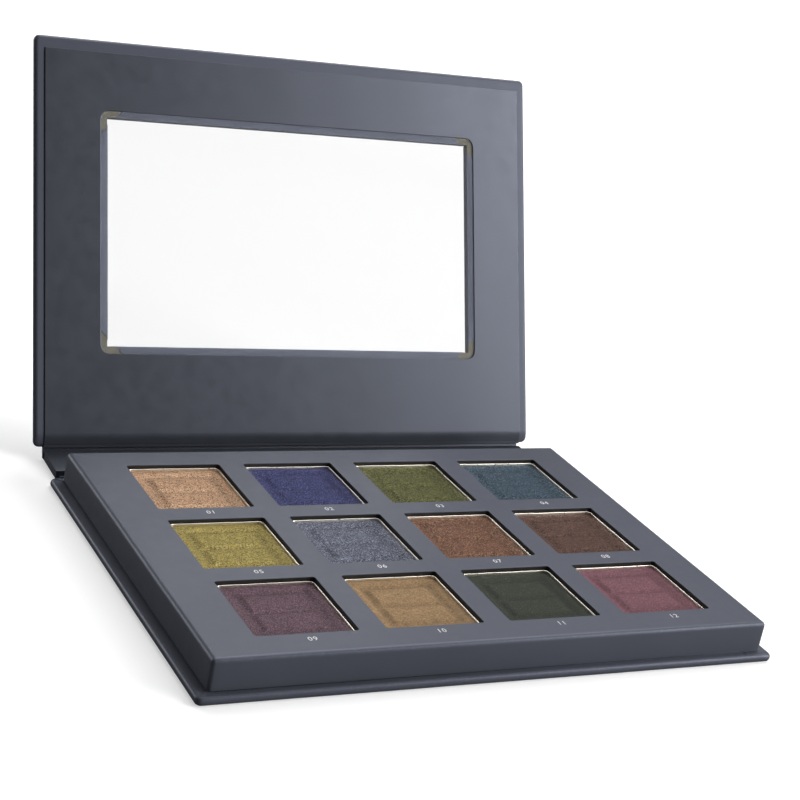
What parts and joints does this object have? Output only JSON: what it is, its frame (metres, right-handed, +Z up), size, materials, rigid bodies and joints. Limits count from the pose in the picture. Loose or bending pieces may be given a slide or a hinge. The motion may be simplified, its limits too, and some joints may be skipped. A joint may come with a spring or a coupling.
{
  "type": "eyeshadow palette",
  "caption": "Wrapped-board eyeshadow palette with a raised tray of square pans and a hinged lid that has a clear window.",
  "frame": {"origin": "middle of the underside of the base cover, on the surface it lies on", "axes": "+X to the right across the palette, +Y towards the hinge and the raised lid, +Z up"},
  "size_m": [0.156, 0.1748, 0.1065],
  "materials": {
    "greyboard": "raw grey chipboard",
    "slate_paper": "soft-touch laminated slate wrap paper",
    "slate_liner": "semi-matt slate liner card",
    "clear_film": "thin clear plastic film",
    "magnet_steel": "nickel-plated disc magnets",
    "black_card": "black card with a brown cut edge",
    "adhesive_pad": "double-sided adhesive discs",
    "tinplate": "bright tinplate",
    "powder_01": "pressed powder, fine shimmer",
    "powder_02": "pressed powder, fine shimmer",
    "powder_03": "pressed powder, coarse glitter",
    "powder_04": "pressed powder, coarse glitter",
    "powder_05": "pressed powder, satin",
    "powder_06": "pressed powder, coarse glitter",
    "powder_07": "pressed powder, coarse glitter",
    "powder_08": "pressed powder, fine shimmer",
    "powder_09": "pressed powder, satin",
    "powder_10": "pressed powder, matte",
    "powder_11": "pressed powder, matte",
    "powder_12": "pressed powder, matte"
  },
  "bodies": {
    "base": {"base_board": "greyboard", "base_wrap": "slate_paper", "base_liner": "slate_liner", "tray_floor": "greyboard", "tray_walls": "greyboard", "pan_nest": "black_card", "window_card": "black_card", "tray_wrap": "slate_paper", "tray_magnets": "magnet_steel", "pan_adhesive_pads": "adhesive_pad", "pan_01": "tinplate", "pan_02": "tinplate", "pan_03": "tinplate", "pan_04": "tinplate", "pan_05": "tinplate", "pan_06": "tinplate", "pan_07": "tinplate", "pan_08": "tinplate", "pan_09": "tinplate", "pan_10": "tinplate", "pan_11": "tinplate", "pan_12": "tinplate", "powder_01": "powder_01", "powder_02": "powder_02", "powder_03": "powder_03", "powder_04": "powder_04", "powder_05": "powder_05", "powder_06": "powder_06", "powder_07": "powder_07", "powder_08": "powder_08", "powder_09": "powder_09", "powder_10": "powder_10", "powder_11": "powder_11", "powder_12": "powder_12"},
    "spine": {"spine_board": "greyboard", "spine_wrap": "slate_paper", "spine_liner": "slate_liner"},
    "lid": {"lid_board": "greyboard", "lid_wrap": "slate_paper", "lid_liner": "slate_liner", "window_film": "clear_film", "lid_magnets": "magnet_steel"}
  },
  "joints": [
    {"name": "spine_fold", "type": "hinge", "parent": "base", "child": "spine", "pos_m": [0, 0.059, 0.0001], "axis": [1, 0, 0], "range_deg": [-2, 88]},
    {"name": "lid_fold", "type": "hinge", "parent": "spine", "child": "lid", "pos_m": [0, 0.07194, 0.00055], "axis": [1, 0, 0], "range_deg": [-64, 26]}
  ]
}
